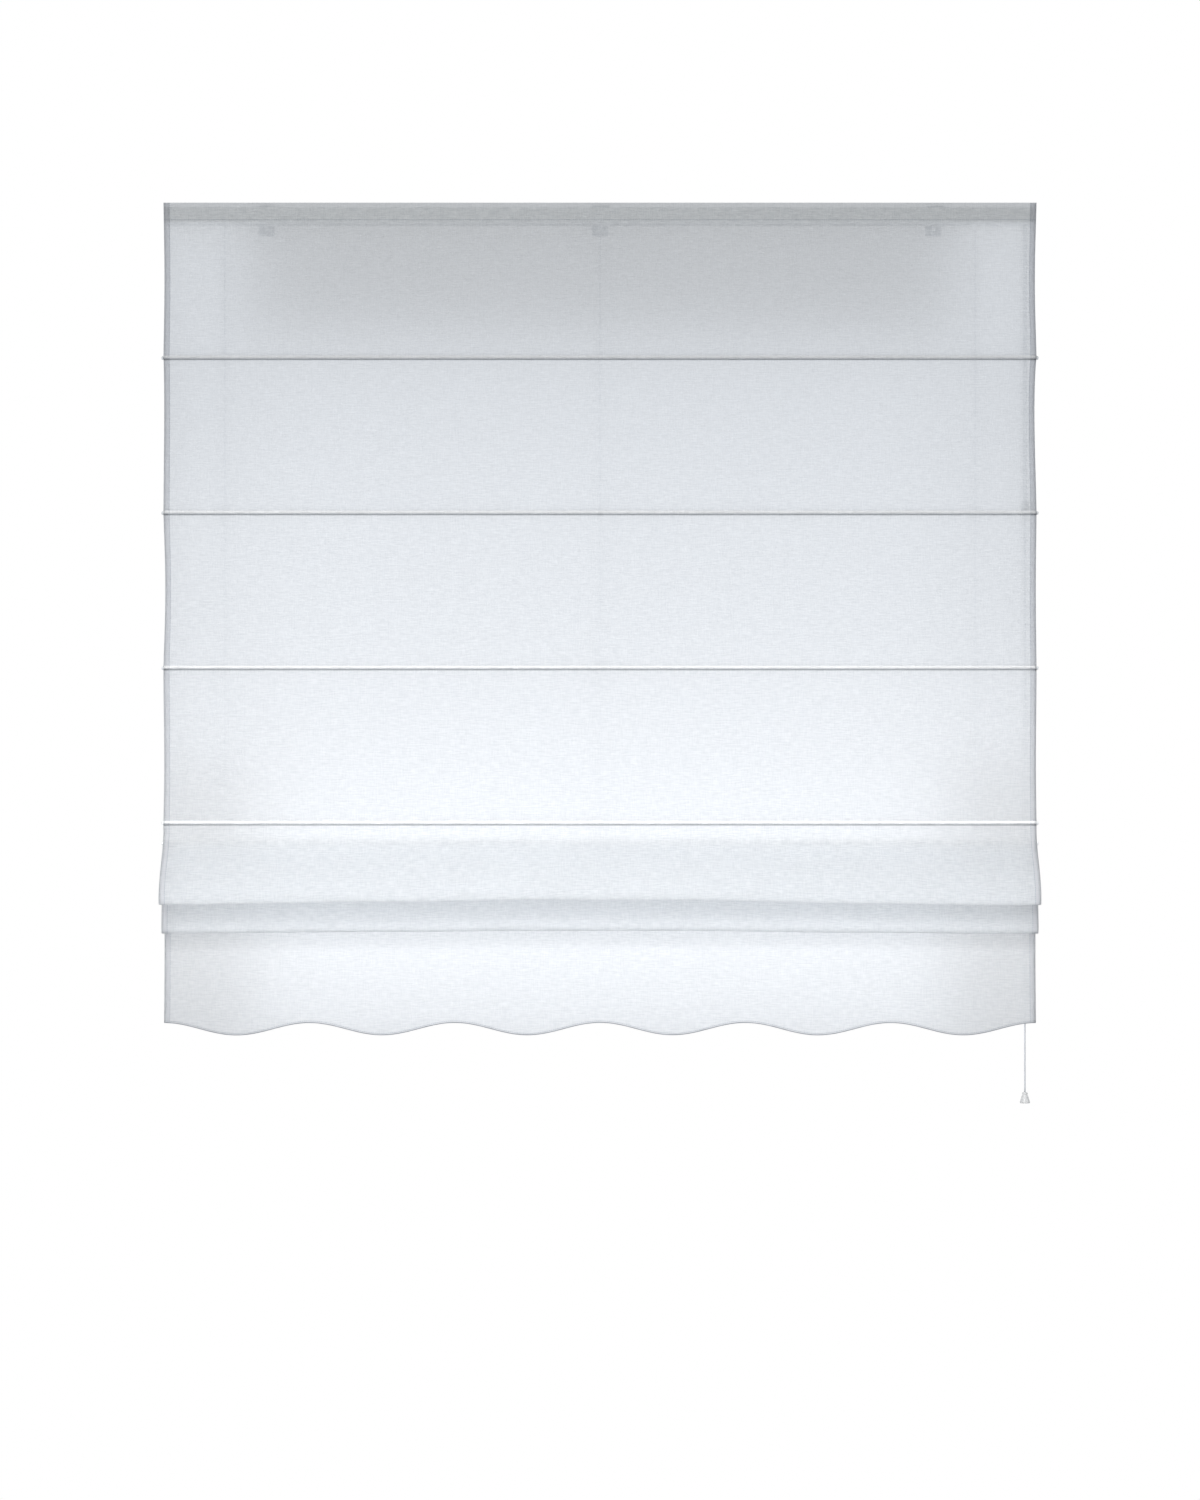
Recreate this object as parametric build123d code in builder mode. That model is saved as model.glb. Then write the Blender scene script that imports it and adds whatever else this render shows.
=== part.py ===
"""Cord-operated roman blind with a scalloped hem, hanging from wall brackets, its two lowest folds drawn up.

Frame, in millimetres: the wall is the plane y = 0, the room is towards -Y, +Z is up and +X is to the right
as seen from the room. The origin is the centre of the middle bracket's wall plate.
"""

import os
from math import cos, pi, radians, sin

from build123d import *

os.makedirs("parts", exist_ok=True)

# Cloth
blind_width = 1300.0  # cloth, edge to edge
rod_pitch = 231.0  # cloth from one rod to the next
cloth = 0.6  # cloth thickness
hem_width = 9.0  # turned side hems
hem_panel = 243.0  # cloth below the last rod, to the troughs of its lower edge
scallops = 6  # waves along the lower edge
scallop_depth = 18.5  # from crest to trough
seam_gap = 0.2  # between the hanging cloth and the drawn-up cloth, at the fourth rod

# Rods in their pockets
rod_count = 6
flat_rods = 3  # rods that hang in the flat cloth, above the drawn-up stack
rod_radius = 1.75
pocket_slack = 0.55  # between a rod and the inside of its sewn pocket
tip_skirt = 0.4  # wall of the rod tip over the rod
tip_skirt_length = 6.0
tip_head_radius = 2.6
tip_head_length = 2.8
tip_fit = 0.03  # radial clearance of a tip on its rod
tip_gap = 0.3  # from the cloth's edge to the tip's head

# Rings, cords and what is on them
ring_radius = 5.0  # to the middle of the ring's section
ring_section = 1.0  # radius of that section
ring_gap = 0.2
lift_cord_radius = 0.6
lift_cord_inset = 90.0  # outer cords from the cloth's edges
cord_layer = 2.0  # height between the cords' runs in the rail
stop_height = 9.0
stop_top_radius = 4.4
stop_foot_radius = 4.9
stop_wall = 1.4
cord_clearance = 0.15
knot_radius = 1.7

# Head rail, an extrusion that is open below and has a clamping groove on top
rail_inset = 4.0  # the rail ends this far inside the cloth's edges
rail_depth = 28.0
rail_height = 24.0
rail_wall = 1.4
rail_lip = 4.0
groove_width = 14.4
groove_depth = 3.0
groove_mouth = 8.4
cap_thickness = 2.0
cap_plug = 5.0
insert_fit = 0.2  # clearance of the plastic inserts in the rail
heading_rise = 6.0  # cloth stands above the rail

# Hook and loop tapes
tape_height = 20.0
hook_thickness = 1.2
loop_thickness = 1.4
tape_drop = 1.0  # tapes start this far below the rail's top

# Wall brackets and their clamps
bracket_inset = 150.0  # outer brackets from the cloth's edges
bracket_width = 24.0
bracket_plate = 2.0
bracket_height = 40.0
bracket_reach = 32.0
screw_spacing = 20.0
screw_hole_radius = 2.3
wall_gap = 4.0  # room for the screw heads behind the rail
clamp_shaft_radius = 2.5
clamp_head_radius = 7.0
clamp_head_width = 7.6
clamp_head_thickness = 2.2
clamp_play = 0.1
clamp_arm_length = 14.0
clamp_arm_width = 8.0
clamp_arm_thickness = 2.0

# Guides and cord lock
wheel_radius = 5.5
wheel_groove_radius = 4.0
wheel_width = 4.0
pin_radius = 1.0
pin_clearance = 0.06
pin_seat = 0.03
slot_width = 5.0
guide_length = 24.0
floor_thickness = 1.2
low_wheel_height = 7.0  # lowest wheel's axis above the rail's underside
lock_length = 42.5
lock_end_gap = 5.5  # from the rail's end to the lock
lock_end_wall = 2.5
cam_offset = 19.5  # cam's pivot, left of the lock's pulley
cam_width = 4.4
cam_low_radius = 4.5
cam_high_radius = 6.2
cam_hub_radius = 3.2
cam_teeth = 6
cam_bite = 0.5  # depth of a tooth
cam_start = 125.0  # the toothed edge begins here, in degrees from level, and runs on to the right
cam_span = 90.0

# Pull cord
pull_inset = 15.7  # from the cloth's edge
tail_length = 414.0  # cords from the lock to the joiner
joiner_radius = 5.5
joiner_wall = 1.3
joiner_cap_height = 9.0
joiner_cup_height = 13.0
pull_cord_radius = 1.1
tassel_foot = 1342.0  # below the top of the cloth
tassel_height = 16.5
tassel_top_radius = 4.0
tassel_foot_radius = 7.5
tassel_wall = 1.4

# Places that follow from the sizes above
pocket_radius = rod_radius + pocket_slack
rail_length = blind_width - 2 * rail_inset
lift_cord_spacing = blind_width / 2 - lift_cord_inset
bracket_spacing = blind_width / 2 - bracket_inset
lock_right = rail_length / 2 - lock_end_gap
lock_left = lock_right - lock_length
pull_x = blind_width / 2 - pull_inset
rail_top = bracket_height / 2 - bracket_plate
rail_bottom = rail_top - rail_height
rail_back = -(bracket_plate + wall_gap)
rail_front = rail_back - rail_depth
rail_middle = (rail_back + rail_front) / 2
tape_top = rail_top - tape_drop
cloth_back = rail_front - hook_thickness - loop_thickness
cloth_y = cloth_back - cloth / 2  # middle of the cloth's thickness
heading_top = rail_top + heading_rise
rod_y = cloth_y + cloth / 2 + pocket_radius
pocket_outer = pocket_radius + cloth
cord_y = rod_y + pocket_outer + ring_gap + ring_section + ring_radius
wrap_radius = wheel_groove_radius + lift_cord_radius + cord_clearance
inner_top = rail_top - 2 * rail_wall - groove_depth - insert_fit  # of the inserts, under the groove
lip_top = rail_bottom + rail_wall
slot_bottom = rail_bottom + floor_thickness
lock_pulley_x = pull_x - wrap_radius - cord_layer
cord_places = {"left": -lift_cord_spacing, "middle": 0.0, "right": lift_cord_spacing}
cord_layers = {"left": 2, "middle": 1, "right": 0}
bracket_places = {"left": -bracket_spacing, "middle": 0.0, "right": bracket_spacing}
fourth_rod_z = heading_top - 4 * rod_pitch

# The middle of the drawn-up cloth from the fourth rod down: (towards the room, up from the fourth rod)
seam_rise = 6.0
fold_turn = -33.0  # cloth turns down again under the fifth rod
hem_turn = -73.0  # and under the sixth
turn_half = 3.0  # half the flat width of such a turn
behind = cloth / 2 + pocket_radius
first_loop = fold_turn / 2 - rod_pitch / 2  # lowest points of the two loops
second_loop = (fold_turn + hem_turn) / 2 - rod_pitch / 2
fold_points = [
    (0.0, seam_rise),
    (0.0, -12.0),
    (13.0, first_loop + 90.0),
    (36.0, first_loop + 62.0),
    (50.0, first_loop + 34.0),
    (50.5, first_loop + 17.0),
    (42.0, first_loop + 15.0),
    (turn_half - behind, fold_turn),
    (-turn_half - behind, fold_turn),
    (5.5, fold_turn - 25.0),
    (15.5, second_loop + 36.5),
    (15.0, second_loop + 5.0),
    (8.0, second_loop + 4.0),
    (turn_half - behind, hem_turn),
    (-turn_half - behind, hem_turn),
    (-turn_half - behind, hem_turn - hem_panel),
]
fold_radii = [20.0, 24.0, 30.0, 30.0, 6.0, 3.0, 1.5, 1.2, 12.0, 60.0, 3.0, 2.5, 1.5, 1.2]
hem_trough = fourth_rod_z + hem_turn - hem_panel
rod_heights = [heading_top - k * rod_pitch for k in range(1, 5)]
rod_heights.append(fourth_rod_z + fold_turn + behind)
rod_heights.append(fourth_rod_z + hem_turn + behind)
last_rod_z = rod_heights[-1]


def wheel_height(layer):
    """Axis height of the wheel that turns the cord of this layer."""
    return rail_bottom + low_wheel_height + layer * cord_layer


def run_height(layer):
    """Height of the cord of this layer along the rail."""
    return wheel_height(layer) + wrap_radius


def keep(part, name):
    """Names a finished piece and writes its STEP file."""
    part.label = name
    export_step(part, f"parts/{name}.step")


# ---------------------------------------------------------------- head rail
with BuildPart() as head_rail:
    with BuildSketch(Plane.YZ):
        with Locations((rail_middle, (rail_top + rail_bottom) / 2)):
            Rectangle(rail_depth, rail_height)
            Rectangle(rail_depth - 2 * rail_wall, rail_height - 2 * rail_wall, mode=Mode.SUBTRACT)
        with Locations((rail_middle, rail_top)):
            Rectangle(
                groove_width + 2 * rail_wall, groove_depth + 2 * rail_wall, align=(Align.CENTER, Align.MAX)
            )
        with Locations((rail_middle, rail_top - rail_wall)):
            Rectangle(groove_width, groove_depth, align=(Align.CENTER, Align.MAX), mode=Mode.SUBTRACT)
        with Locations((rail_middle, rail_top)):
            Rectangle(groove_mouth, 2 * rail_wall, mode=Mode.SUBTRACT)
        with Locations((rail_middle, rail_bottom)):
            Rectangle(rail_depth - 2 * rail_wall - 2 * rail_lip, 2 * rail_wall, mode=Mode.SUBTRACT)
    extrude(amount=rail_length / 2, both=True)
    fillet(head_rail.edges().filter_by(Axis.X).group_by(Axis.Z)[-1].sort_by(Axis.Y)[0], 1.0)
    fillet(head_rail.edges().filter_by(Axis.X).group_by(Axis.Z)[-1].sort_by(Axis.Y)[-1], 1.0)
keep(head_rail.part, "head_rail")

for side, sign in (("left", -1), ("right", 1)):
    cap_plane = Plane(origin=(sign * rail_length / 2, 0, 0), x_dir=(0, 1, 0), z_dir=(sign, 0, 0))
    with BuildPart() as end_cap:
        with BuildSketch(cap_plane):
            with Locations((rail_middle, sign * (rail_top + rail_bottom) / 2)):
                RectangleRounded(rail_depth, rail_height, 1.5)
        extrude(amount=cap_thickness)
        with BuildSketch(cap_plane):
            with Locations((rail_middle, sign * (lip_top + inner_top) / 2)):
                Rectangle(rail_depth - 2 * rail_wall - 2 * insert_fit, inner_top - lip_top - 2 * insert_fit)
        extrude(amount=-cap_plug)
        with BuildSketch(cap_plane.offset(-cap_plug)):
            with Locations((rail_middle, sign * (lip_top + inner_top) / 2)):
                Rectangle(rail_depth - 6 * rail_wall, inner_top - lip_top - 4 * rail_wall)
        extrude(amount=cap_plug, mode=Mode.SUBTRACT)
        fillet(end_cap.faces().sort_by(Axis.X)[-1 if sign > 0 else 0].edges(), 0.5)
    keep(end_cap.part, f"end_cap_{side}")

# ---------------------------------------------------------------- tapes
with BuildPart() as hook_tape:
    with BuildSketch(Plane.YZ):
        with Locations((rail_front, tape_top)):
            Rectangle(hook_thickness, tape_height, align=(Align.MAX, Align.MAX))
    extrude(amount=rail_length / 2, both=True)
keep(hook_tape.part, "hook_tape")

with BuildPart() as loop_tape:
    with BuildSketch(Plane.YZ):
        with Locations((rail_front - hook_thickness, tape_top)):
            Rectangle(loop_thickness, tape_height, align=(Align.MAX, Align.MAX))
    extrude(amount=blind_width / 2 - hem_width, both=True)
keep(loop_tape.part, "loop_tape")

# ---------------------------------------------------------------- wall brackets and clamps
for side, place in bracket_places.items():
    with BuildPart() as bracket:
        with BuildSketch(Plane.YZ.offset(place)):
            with BuildLine():
                Polyline(
                    (0, -bracket_height / 2),
                    (0, bracket_height / 2),
                    (-bracket_reach, bracket_height / 2),
                    (-bracket_reach, bracket_height / 2 - bracket_plate),
                    (-bracket_plate, bracket_height / 2 - bracket_plate),
                    (-bracket_plate, -bracket_height / 2),
                    close=True,
                )
            make_face()
        extrude(amount=bracket_width / 2, both=True)
        bends = bracket.edges().filter_by(Axis.X).group_by(Axis.Z)
        fillet(bends[-1].sort_by(Axis.Y)[-1], bracket_plate + 0.5)
        fillet(bracket.edges().filter_by(Axis.X).group_by(Axis.Z)[-2].sort_by(Axis.Y)[-1], 0.5)
        fillet(bracket.edges().filter_by(Axis.Z).group_by(Axis.Y)[0], 3.0)
        fillet(bracket.edges().filter_by(Axis.Y).group_by(Axis.Z)[0], 3.0)
        with Locations(Plane(origin=(place, 0, 0), x_dir=(1, 0, 0), z_dir=(0, -1, 0))):
            with GridLocations(1, screw_spacing, 1, 2):
                Hole(screw_hole_radius, depth=bracket_plate)
        with Locations(Plane(origin=(place, rail_middle, bracket_height / 2), z_dir=(0, 0, 1))):
            Hole(clamp_shaft_radius + clamp_play, depth=bracket_plate)
    keep(bracket.part, f"bracket_{side}")

    head_top = rail_top - rail_wall - clamp_play * 2
    arm_bottom = bracket_height / 2 + clamp_play
    with BuildPart() as clamp:
        with BuildSketch(Plane.XY.offset(head_top)):
            with Locations((place, rail_middle)):
                Circle(clamp_head_radius)
                Rectangle(clamp_head_width, 2 * clamp_head_radius, mode=Mode.INTERSECT)
        extrude(amount=-clamp_head_thickness)
        with BuildSketch(Plane.XY.offset(head_top)):
            with Locations((place, rail_middle)):
                Circle(clamp_shaft_radius)
        extrude(amount=arm_bottom - head_top)
        with BuildSketch(Plane.XY.offset(arm_bottom)):
            with Locations((place, rail_middle)):
                Circle(clamp_arm_width / 2)
                Rectangle(clamp_arm_length, clamp_arm_width, align=(Align.MIN, Align.CENTER))
        extrude(amount=clamp_arm_thickness)
        fillet(clamp.edges().filter_by(Axis.Z).group_by(Axis.X)[-1], 2.5)
        fillet(clamp.faces().sort_by(Axis.Z)[-1].edges(), 0.6)
    keep(clamp.part, f"clamp_{side}")

# ---------------------------------------------------------------- cord guides
for side, place in cord_places.items():
    wheel_x = place + wrap_radius
    wheel_z = wheel_height(cord_layers[side])
    front = Plane(origin=(wheel_x, cord_y, wheel_z), x_dir=(1, 0, 0), z_dir=(0, -1, 0))
    with BuildPart() as cord_guide:
        with BuildSketch(Plane.YZ.offset(wheel_x)):
            with Locations((rail_middle, lip_top + insert_fit)):
                Rectangle(
                    rail_depth - 2 * rail_wall - 2 * insert_fit,
                    inner_top - lip_top - insert_fit,
                    align=(Align.CENTER, Align.MIN),
                )
            with Locations((rail_middle, rail_bottom)):
                Rectangle(
                    rail_depth - 2 * rail_wall - 2 * rail_lip - 2 * insert_fit,
                    rail_wall + 2 * insert_fit,
                    align=(Align.CENTER, Align.MIN),
                )
            with Locations((cord_y, slot_bottom)):
                Rectangle(slot_width, rail_height, align=(Align.CENTER, Align.MIN), mode=Mode.SUBTRACT)
            with Locations((rail_back - rail_wall - 2 * rail_lip, slot_bottom + 3)):
                Rectangle(9, rail_height, align=(Align.CENTER, Align.MIN), mode=Mode.SUBTRACT)
        extrude(amount=guide_length / 2, both=True)
        with BuildSketch(Plane.XY.offset(rail_bottom)):
            with Locations((place, cord_y)):
                SlotOverall(3.6 * lift_cord_radius + 1, 2 * lift_cord_radius + 1)
        extrude(amount=floor_thickness, mode=Mode.SUBTRACT)
        with BuildSketch(front):
            Circle(pin_radius + pin_seat)
        extrude(amount=slot_width + 1, both=True, mode=Mode.SUBTRACT)
    keep(cord_guide.part, f"cord_guide_{side}")

    with BuildPart() as guide_pin:
        with BuildSketch(front):
            Circle(pin_radius)
        extrude(amount=slot_width, both=True)
    keep(guide_pin.part, f"guide_pin_{side}")

    with BuildPart() as guide_wheel:
        with BuildSketch(front):
            Circle(wheel_radius)
            Circle(pin_radius + pin_clearance, mode=Mode.SUBTRACT)
            with PolarLocations((wheel_groove_radius + pin_radius) / 2, 4):
                Circle(0.8, mode=Mode.SUBTRACT)
        extrude(amount=wheel_width / 2, both=True)
        groove_depth_here = wheel_radius - wheel_groove_radius
        with BuildSketch(Plane(origin=(wheel_x, cord_y, wheel_z), x_dir=(1, 0, 0), z_dir=(0, 0, 1))):
            with Locations((wheel_groove_radius + groove_depth_here, 0)):
                Trapezoid(wheel_width - 0.8, groove_depth_here, 65, rotation=90, align=(Align.CENTER, Align.MIN))
        revolve(axis=Axis((wheel_x, cord_y, wheel_z), (0, 1, 0)), mode=Mode.SUBTRACT)
    keep(guide_wheel.part, f"guide_wheel_{side}")

# ---------------------------------------------------------------- cord lock
lock_pulley_z = wheel_height(0)
cam_x = lock_pulley_x - cam_offset
cam_z = lock_pulley_z - 1.5
pulley_front = Plane(origin=(lock_pulley_x, cord_y, lock_pulley_z), x_dir=(1, 0, 0), z_dir=(0, -1, 0))
cam_front = Plane(origin=(cam_x, cord_y, cam_z), x_dir=(1, 0, 0), z_dir=(0, -1, 0))
lock_middle = (lock_left + lock_right) / 2
with BuildPart() as lock_housing:
    with BuildSketch(Plane.YZ.offset(lock_middle)):
        with Locations((rail_middle, lip_top + insert_fit)):
            Rectangle(
                rail_depth - 2 * rail_wall - 2 * insert_fit,
                inner_top - lip_top - insert_fit,
                align=(Align.CENTER, Align.MIN),
            )
        with Locations((rail_middle, rail_bottom)):
            Rectangle(
                rail_depth - 2 * rail_wall - 2 * rail_lip - 2 * insert_fit,
                rail_wall + 2 * insert_fit,
                align=(Align.CENTER, Align.MIN),
            )
    extrude(amount=(lock_right - lock_left) / 2, both=True)
    with BuildSketch(Plane.XY.offset(slot_bottom)):
        with Locations((lock_left, cord_y)):
            Rectangle(
                lock_right - lock_left - lock_end_wall, slot_width, align=(Align.MIN, Align.CENTER)
            )
        with Locations((lock_middle, rail_back - rail_wall - 2 * rail_lip)):
            Rectangle(lock_right - lock_left - 2 * lock_end_wall, 9)
    extrude(amount=rail_height, mode=Mode.SUBTRACT)
    with BuildSketch(Plane.XY.offset(rail_bottom)):
        with Locations((pull_x, cord_y)):
            SlotOverall(2 * cord_layer + 2 * lift_cord_radius + 1, 2 * lift_cord_radius + 1)
    extrude(amount=floor_thickness, mode=Mode.SUBTRACT)
    for pin_plane in (pulley_front, cam_front):
        with BuildSketch(pin_plane):
            Circle(pin_radius + pin_seat)
        extrude(amount=slot_width + 1, both=True, mode=Mode.SUBTRACT)
keep(lock_housing.part, "lock_housing")

for pin_plane, name in ((pulley_front, "lock_pulley_pin"), (cam_front, "lock_cam_pin")):
    with BuildPart() as lock_pin:
        with BuildSketch(pin_plane):
            Circle(pin_radius)
        extrude(amount=slot_width, both=True)
    keep(lock_pin.part, name)

with BuildPart() as lock_pulley:
    with BuildSketch(pulley_front):
        Circle(wheel_radius)
        Circle(pin_radius + pin_clearance, mode=Mode.SUBTRACT)
        with PolarLocations((wheel_groove_radius + pin_radius) / 2, 4):
            Circle(0.8, mode=Mode.SUBTRACT)
    extrude(amount=wheel_width / 2, both=True)
    groove_depth_here = wheel_radius - wheel_groove_radius
    with BuildSketch(Plane(origin=(lock_pulley_x, cord_y, lock_pulley_z), x_dir=(1, 0, 0), z_dir=(0, 0, 1))):
        with Locations((wheel_groove_radius + groove_depth_here, 0)):
            Trapezoid(wheel_width - 0.8, groove_depth_here, 65, rotation=90, align=(Align.CENTER, Align.MIN))
    revolve(axis=Axis((lock_pulley_x, cord_y, lock_pulley_z), (0, 1, 0)), mode=Mode.SUBTRACT)
keep(lock_pulley.part, "lock_pulley")

# The cam's toothed edge swells from left to right, so that a cord running back to the left jams it
cam_edge = []
for step in range(2 * cam_teeth + 1):
    turn = radians(cam_start - step * cam_span / (2 * cam_teeth))
    swell = cam_low_radius + (cam_high_radius - cam_low_radius) * step / (2 * cam_teeth)
    reach = swell - cam_bite * (step % 2)
    cam_edge.append((reach * cos(turn), reach * sin(turn)))
with BuildPart() as lock_cam:
    with BuildSketch(cam_front):
        with BuildLine():
            Polyline((0, 0), *cam_edge, close=True)
        make_face()
        Circle(cam_hub_radius)
        Circle(pin_radius + pin_clearance, mode=Mode.SUBTRACT)
    extrude(amount=cam_width / 2, both=True)
keep(lock_cam.part, "lock_cam")

# ---------------------------------------------------------------- lift cords
lock_exit = rail_bottom + 0.2
stop_top = last_rod_z - ring_section - 0.1
knot_z = stop_top - stop_wall - knot_radius - 0.2
for side, place in cord_places.items():
    layer = cord_layers[side]
    with BuildPart() as lift_cord:
        with BuildLine(Plane(origin=(0, cord_y, 0), x_dir=(1, 0, 0), z_dir=(0, -1, 0))) as cord_line:
            FilletPolyline(
                (place, knot_z),
                (place, run_height(layer)),
                (lock_pulley_x + wrap_radius + layer * cord_layer, run_height(layer)),
                (lock_pulley_x + wrap_radius + layer * cord_layer, lock_exit),
                radius=[wrap_radius, wrap_radius + layer * cord_layer],
            )
        with BuildSketch(Plane(origin=(place, cord_y, knot_z), z_dir=(0, 0, 1))):
            Circle(lift_cord_radius)
        sweep(path=cord_line.wires()[0])
        with Locations((place, cord_y, knot_z)):
            Sphere(knot_radius)
    print(side, "lift cord", round(cord_line.wires()[0].length), "mm long, bends", wrap_radius, "mm")
    keep(lift_cord.part, f"lift_cord_{side}")

with BuildPart() as cord_stops:
    for place in cord_places.values():
        with BuildSketch(Plane(origin=(place, cord_y, stop_top), x_dir=(1, 0, 0), z_dir=(0, -1, 0))) as stop_section:
            with BuildLine():
                Polyline(
                    (lift_cord_radius + cord_clearance, 0),
                    (stop_top_radius, 0),
                    (stop_foot_radius, -stop_height),
                    (stop_foot_radius - stop_wall, -stop_height),
                    (stop_top_radius - stop_wall + 0.9, -stop_wall),
                    (lift_cord_radius + cord_clearance, -stop_wall),
                    close=True,
                )
            make_face()
        revolve(axis=Axis((place, cord_y, stop_top), (0, 0, 1)))
keep(cord_stops.part, "cord_stops")

# ---------------------------------------------------------------- rods, tips and rings
for number, height in enumerate(rod_heights, start=1):
    with BuildPart() as rod:
        with BuildSketch(Plane.YZ):
            with Locations((rod_y, height)):
                Circle(rod_radius)
        extrude(amount=blind_width / 2 - 1, both=True)
    keep(rod.part, f"rod_{number}")

    with BuildPart() as rod_tips:
        for sign in (-1, 1):
            edge = blind_width / 2
            with BuildSketch(Plane(origin=(sign * edge, rod_y, height), x_dir=(sign, 0, 0), z_dir=(0, -sign, 0))):
                with BuildLine():
                    Polyline(
                        (-1 + tip_fit, 0),
                        (-1 + tip_fit, rod_radius + tip_fit),
                        (-tip_skirt_length, rod_radius + tip_fit),
                        (-tip_skirt_length, rod_radius + tip_skirt),
                        (tip_gap, rod_radius + tip_skirt),
                        (tip_gap, tip_head_radius),
                        (tip_gap + tip_head_length - 1, tip_head_radius),
                        (tip_gap + tip_head_length, tip_head_radius - 1),
                        (tip_gap + tip_head_length, 0),
                        close=True,
                    )
                make_face()
            revolve(axis=Axis((0, rod_y, height), (1, 0, 0)))
    keep(rod_tips.part, f"rod_tips_{number}")

    with BuildPart() as rings:
        with Locations(*[(place, cord_y, height) for place in cord_places.values()]):
            Torus(ring_radius, ring_section)
    keep(rings.part, f"rings_{number}")

# ---------------------------------------------------------------- cloth
with BuildPart() as cloth_upper:
    seam_top = fourth_rod_z + seam_rise + seam_gap
    with BuildSketch(Plane.YZ):
        with Locations((cloth_y, seam_top)):
            Rectangle(cloth, heading_top - seam_top, align=(Align.CENTER, Align.MIN))
    extrude(amount=blind_width / 2, both=True)
    with BuildSketch(Plane.YZ):
        with Locations(*[(rod_y, height) for height in rod_heights[:flat_rods]]):
            Circle(pocket_outer)
            Circle(pocket_radius, mode=Mode.SUBTRACT)
    extrude(amount=blind_width / 2 - 3, both=True)
    for sign in (-1, 1):
        with BuildSketch(Plane.XZ.offset(-cloth_back)):
            for above, below in zip([heading_top, *rod_heights[:flat_rods]], rod_heights[: flat_rods + 1]):
                high = above - (0 if above == heading_top else pocket_outer + 0.5)
                low = max(below + pocket_outer + 0.5, seam_top)
                with Locations((sign * (blind_width / 2 - hem_width / 2), (high + low) / 2)):
                    Rectangle(hem_width, high - low)
        extrude(amount=-cloth)
keep(cloth_upper.part, "cloth_upper")

with BuildPart() as cloth_lower:
    with BuildLine(Plane.YZ) as cloth_line:
        FilletPolyline(
            *[(cloth_y - ahead, fourth_rod_z + up) for ahead, up in fold_points], radius=fold_radii
        )
    with BuildSketch(Plane(cloth_line.line @ 0, x_dir=(1, 0, 0), z_dir=(0, 0, -1))):
        Rectangle(blind_width, cloth)
    sweep(path=cloth_line.wires()[0])
    with BuildSketch(Plane.YZ):
        with Locations(*[(rod_y, height) for height in rod_heights[flat_rods:]]):
            Circle(pocket_outer)
            Circle(pocket_radius, mode=Mode.SUBTRACT)
    extrude(amount=blind_width / 2, both=True)
    with BuildSketch(Plane.XZ.offset(-cloth_y - 2 * pocket_outer - 20)):
        with BuildLine():
            steps = 8 * scallops
            Spline(
                *[
                    (
                        blind_width * (n / steps - 0.5),
                        hem_trough + scallop_depth / 2 * (1 + cos(2 * pi * scallops * n / steps)),
                    )
                    for n in range(steps + 1)
                ],
            )
            Polyline(
                (blind_width / 2, hem_trough + scallop_depth),
                (blind_width / 2 + 5, hem_trough + scallop_depth),
                (blind_width / 2 + 5, hem_trough - 5),
                (-blind_width / 2 - 5, hem_trough - 5),
                (-blind_width / 2 - 5, hem_trough + scallop_depth),
                (-blind_width / 2, hem_trough + scallop_depth),
            )
        make_face()
    extrude(amount=40, mode=Mode.SUBTRACT)
    for sign in (-1, 1):
        with BuildSketch(Plane.YZ.offset(sign * blind_width / 2)):
            with Locations(*[(rod_y, height) for height in rod_heights[flat_rods:]]):
                Circle(pocket_outer + 0.5)
        extrude(amount=-sign * 3, mode=Mode.SUBTRACT)
keep(cloth_lower.part, "cloth_lower")

# ---------------------------------------------------------------- pull cord
joiner_top = rail_bottom - tail_length
tail_places = [pull_x + n * cord_layer for n in (-1, 0, 1)]
with BuildPart() as cord_tails:
    for place in tail_places:
        foot = joiner_top - joiner_wall - 1.0
        with Locations((place, cord_y, rail_bottom)):
            Cylinder(lift_cord_radius, rail_bottom - foot, align=(Align.CENTER, Align.CENTER, Align.MAX))
        with Locations((place, cord_y, foot)):
            Sphere(0.9)
keep(cord_tails.part, "cord_tails")

joiner_seam = joiner_top - joiner_cap_height
with BuildPart() as joiner_cap:
    with BuildSketch(Plane(origin=(pull_x, cord_y, joiner_top), x_dir=(1, 0, 0), z_dir=(0, -1, 0))):
        with BuildLine():
            Polyline(
                (0, 0),
                (joiner_radius - 2, 0),
                (joiner_radius, -2),
                (joiner_radius, -joiner_cap_height),
                (joiner_radius - joiner_wall, -joiner_cap_height),
                (joiner_radius - joiner_wall, -2 * joiner_wall),
                (joiner_radius - 2 * joiner_wall, -joiner_wall),
                (0, -joiner_wall),
                close=True,
            )
        make_face()
    revolve(axis=Axis((pull_x, cord_y, joiner_top), (0, 0, 1)))
    with BuildSketch(Plane.XY.offset(joiner_top)):
        with Locations(*[(place, cord_y) for place in tail_places]):
            Circle(lift_cord_radius + cord_clearance)
    extrude(amount=-2 * joiner_wall, mode=Mode.SUBTRACT)
keep(joiner_cap.part, "joiner_cap")

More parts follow.
